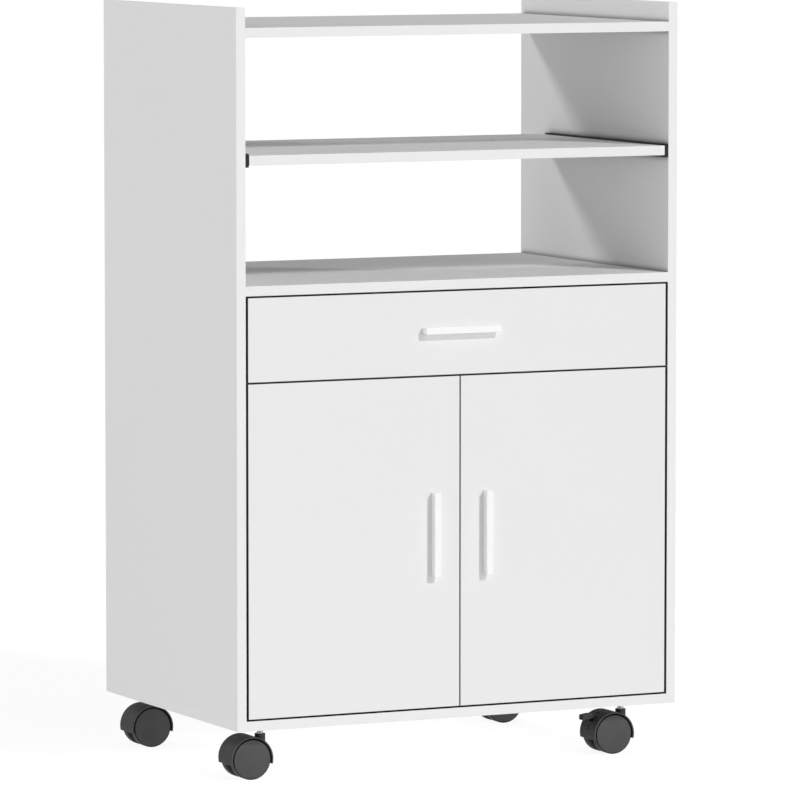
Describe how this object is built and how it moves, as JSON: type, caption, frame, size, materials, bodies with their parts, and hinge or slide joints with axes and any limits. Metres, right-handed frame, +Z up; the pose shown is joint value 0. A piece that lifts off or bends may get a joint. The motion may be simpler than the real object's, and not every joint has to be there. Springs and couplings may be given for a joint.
{
  "type": "microwave cart",
  "caption": "White microwave cart with a top tray, pull-out shelf, worktop, drawer and double-door cupboard, rolling on twin-wheel swivel casters.",
  "frame": {"origin": "on the floor, in the middle of the cart's bounding box", "axes": "+X to the right seen from the front, +Y to the back, +Z up; the drawer and the pull-out shelf open towards -Y"},
  "size_m": [0.6, 0.417, 0.9399],
  "materials": {
    "white_board": "smooth white melamine on chipboard, edges banded, semi-matt",
    "hardboard": "thin hardboard painted white on one face",
    "handle_white": "smooth white powder coat",
    "rail_black": "black extruded plastic, satin",
    "runner_white": "white powder-coated sheet steel",
    "roller_nylon": "off-white nylon",
    "steel": "bright zinc-plated steel",
    "stem_chrome": "bright plated steel",
    "caster_hood": "dark grey moulded nylon, finely textured",
    "caster_wheel": "dark grey moulded plastic, smooth"
  },
  "bodies": {
    "cabinet": {"left_side_panel": "white_board", "right_side_panel": "white_board", "bottom_panel": "white_board", "top_shelf": "white_board", "worktop": "white_board", "divider_panel": "white_board", "back_panel": "hardboard", "inner_shelf": "white_board", "shelf_pins": "steel", "left_shelf_rail": "rail_black", "right_shelf_rail": "rail_black", "panel_screws": "steel", "base_screws": "steel", "cam_locks": "steel", "cam_bolts": "steel", "back_panel_nails": "steel", "left_cabinet_runner": "runner_white", "right_cabinet_runner": "runner_white", "hinge_arms": "steel", "hinge_plates": "steel", "caster_nuts": "steel", "caster_stems": "stem_chrome"},
    "shelf": {"sliding_shelf": "white_board"},
    "drawer": {"drawer_front": "white_board", "drawer_left_side": "white_board", "drawer_right_side": "white_board", "drawer_back": "white_board", "drawer_bottom": "hardboard", "drawer_handle": "handle_white", "drawer_handle_screws": "steel", "left_drawer_runner": "runner_white", "right_drawer_runner": "runner_white"},
    "cabinet_rollers": {"cabinet_runner_rollers": "roller_nylon"},
    "drawer_rollers": {"drawer_runner_rollers": "roller_nylon"},
    "left_door": {"left_door": "white_board", "left_door_handle": "handle_white", "left_door_screws": "steel", "left_door_hinge_cups": "steel"},
    "right_door": {"right_door": "white_board", "right_door_handle": "handle_white", "right_door_screws": "steel", "right_door_hinge_cups": "steel"},
    "front_left_swivel": {"front_left_hood": "caster_hood", "front_left_axle": "steel"},
    "front_left_near_wheel": {"front_left_near_wheel": "caster_wheel"},
    "front_left_far_wheel": {"front_left_far_wheel": "caster_wheel"},
    "front_right_swivel": {"front_right_hood": "caster_hood", "front_right_axle": "steel"},
    "front_right_near_wheel": {"front_right_near_wheel": "caster_wheel"},
    "front_right_far_wheel": {"front_right_far_wheel": "caster_wheel"},
    "front_right_brake_pedal": {"front_right_brake_pedal": "caster_hood"},
    "rear_left_swivel": {"rear_left_hood": "caster_hood", "rear_left_axle": "steel"},
    "rear_left_near_wheel": {"rear_left_near_wheel": "caster_wheel"},
    "rear_left_far_wheel": {"rear_left_far_wheel": "caster_wheel"},
    "rear_right_swivel": {"rear_right_hood": "caster_hood", "rear_right_axle": "steel"},
    "rear_right_near_wheel": {"rear_right_near_wheel": "caster_wheel"},
    "rear_right_far_wheel": {"rear_right_far_wheel": "caster_wheel"},
    "rear_right_brake_pedal": {"rear_right_brake_pedal": "caster_hood"}
  },
  "joints": [
    {"name": "shelf_slide", "type": "slide", "parent": "cabinet", "child": "shelf", "axis": [0, -1, 0], "range_m": [0, 0.23]},
    {"name": "drawer_slide", "type": "slide", "parent": "cabinet", "child": "drawer", "axis": [0, -1, 0], "range_m": [0, 0.29]},
    {"name": "cabinet_roller_spin", "type": "hinge", "parent": "cabinet", "child": "cabinet_rollers", "pos_m": [0, -0.1705, 0.50305], "axis": [1, 0, 0], "continuous": true},
    {"name": "drawer_roller_spin", "type": "hinge", "parent": "drawer", "child": "drawer_rollers", "pos_m": [0, 0.1455, 0.50275], "axis": [1, 0, 0], "continuous": true},
    {"name": "left_door_hinge", "type": "hinge", "parent": "cabinet", "child": "left_door", "pos_m": [-0.2763, -0.1905, 0.28255], "axis": [0, 0, -1], "range_deg": [0, 95]},
    {"name": "right_door_hinge", "type": "hinge", "parent": "cabinet", "child": "right_door", "pos_m": [0.2763, -0.1905, 0.28255], "axis": [0, 0, 1], "range_deg": [0, 95]},
    {"name": "front_left_swivel_turn", "type": "hinge", "parent": "cabinet", "child": "front_left_swivel", "pos_m": [-0.2485, -0.1485, 0.025], "axis": [0, 0, 1], "continuous": true},
    {"name": "front_left_near_wheel_spin", "type": "hinge", "parent": "front_left_swivel", "child": "front_left_near_wheel", "pos_m": [-0.2675, -0.1485, 0.025], "axis": [0, 1, 0], "continuous": true},
    {"name": "front_left_far_wheel_spin", "type": "hinge", "parent": "front_left_swivel", "child": "front_left_far_wheel", "pos_m": [-0.2675, -0.1485, 0.025], "axis": [0, 1, 0], "continuous": true},
    {"name": "front_right_swivel_turn", "type": "hinge", "parent": "cabinet", "child": "front_right_swivel", "pos_m": [0.2485, -0.1485, 0.025], "axis": [0, 0, 1], "continuous": true},
    {"name": "front_right_near_wheel_spin", "type": "hinge", "parent": "front_right_swivel", "child": "front_right_near_wheel", "pos_m": [0.2295, -0.1485, 0.025], "axis": [0, 1, 0], "continuous": true},
    {"name": "front_right_far_wheel_spin", "type": "hinge", "parent": "front_right_swivel", "child": "front_right_far_wheel", "pos_m": [0.2295, -0.1485, 0.025], "axis": [0, 1, 0], "continuous": true},
    {"name": "front_right_brake_pedal_press", "type": "hinge", "parent": "front_right_swivel", "child": "front_right_brake_pedal", "pos_m": [0.2165, -0.1485, 0.042], "axis": [0, -1, 0], "range_deg": [0, 14]},
    {"name": "rear_left_swivel_turn", "type": "hinge", "parent": "cabinet", "child": "rear_left_swivel", "pos_m": [-0.2485, 0.1555, 0.025], "axis": [0, 0, 1], "continuous": true},
    {"name": "rear_left_near_wheel_spin", "type": "hinge", "parent": "rear_left_swivel", "child": "rear_left_near_wheel", "pos_m": [-0.2675, 0.1555, 0.025], "axis": [0, 1, 0], "continuous": true},
    {"name": "rear_left_far_wheel_spin", "type": "hinge", "parent": "rear_left_swivel", "child": "rear_left_far_wheel", "pos_m": [-0.2675, 0.1555, 0.025], "axis": [0, 1, 0], "continuous": true},
    {"name": "rear_right_swivel_turn", "type": "hinge", "parent": "cabinet", "child": "rear_right_swivel", "pos_m": [0.2485, 0.1555, 0.025], "axis": [0, 0, 1], "continuous": true},
    {"name": "rear_right_near_wheel_spin", "type": "hinge", "parent": "rear_right_swivel", "child": "rear_right_near_wheel", "pos_m": [0.2295, 0.1555, 0.025], "axis": [0, 1, 0], "continuous": true},
    {"name": "rear_right_far_wheel_spin", "type": "hinge", "parent": "rear_right_swivel", "child": "rear_right_far_wheel", "pos_m": [0.2295, 0.1555, 0.025], "axis": [0, 1, 0], "continuous": true},
    {"name": "rear_right_brake_pedal_press", "type": "hinge", "parent": "rear_right_swivel", "child": "rear_right_brake_pedal", "pos_m": [0.2165, 0.1555, 0.042], "axis": [0, -1, 0], "range_deg": [0, 14]}
  ],
  "couplings": [
    {"joint": "cabinet_roller_spin", "follows": "drawer_slide", "rad_per_m": 142.86},
    {"joint": "drawer_roller_spin", "follows": "drawer_slide", "rad_per_m": 142.86}
  ]
}
